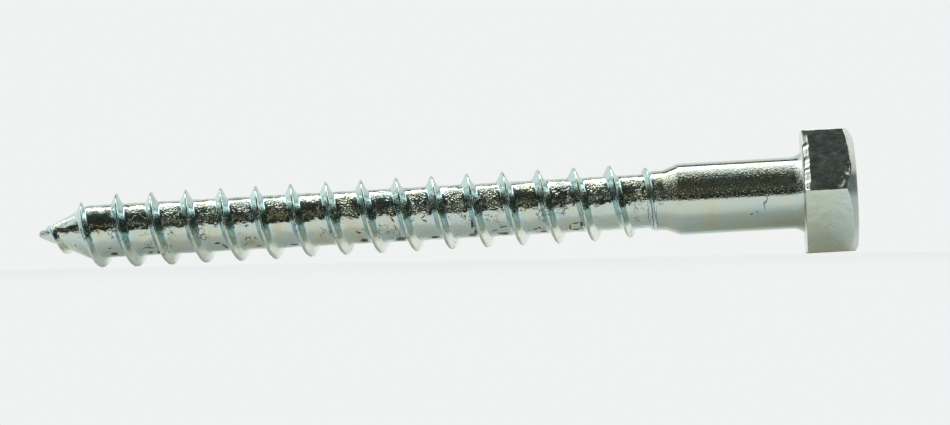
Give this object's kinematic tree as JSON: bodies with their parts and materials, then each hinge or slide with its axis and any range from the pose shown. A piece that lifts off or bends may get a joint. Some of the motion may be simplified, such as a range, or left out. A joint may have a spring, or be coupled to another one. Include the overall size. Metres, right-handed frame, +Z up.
{
  "type": "lag screw",
  "caption": "Hexagon-head lag screw with plain shank, stepped neck, coarse right-hand wood thread and gimlet point, zinc plated",
  "frame": {"origin": "centre of the bounding box in X and Y, on the surface that the screw lies on", "axes": "+X runs along the screw from tip to head and level with the table, +Z up, and +Y across the head's corners; the screw's own axis dips towards the tip by 1.93 degrees, as it rests"},
  "size_m": [0.1068, 0.018, 0.0158],
  "materials": {
    "zinc_plated_steel": "bright zinc plate, slightly blue and yellow, over rolled steel"
  },
  "bodies": {
    "root": {"lag_screw": "zinc_plated_steel"}
  },
  "joints": []
}
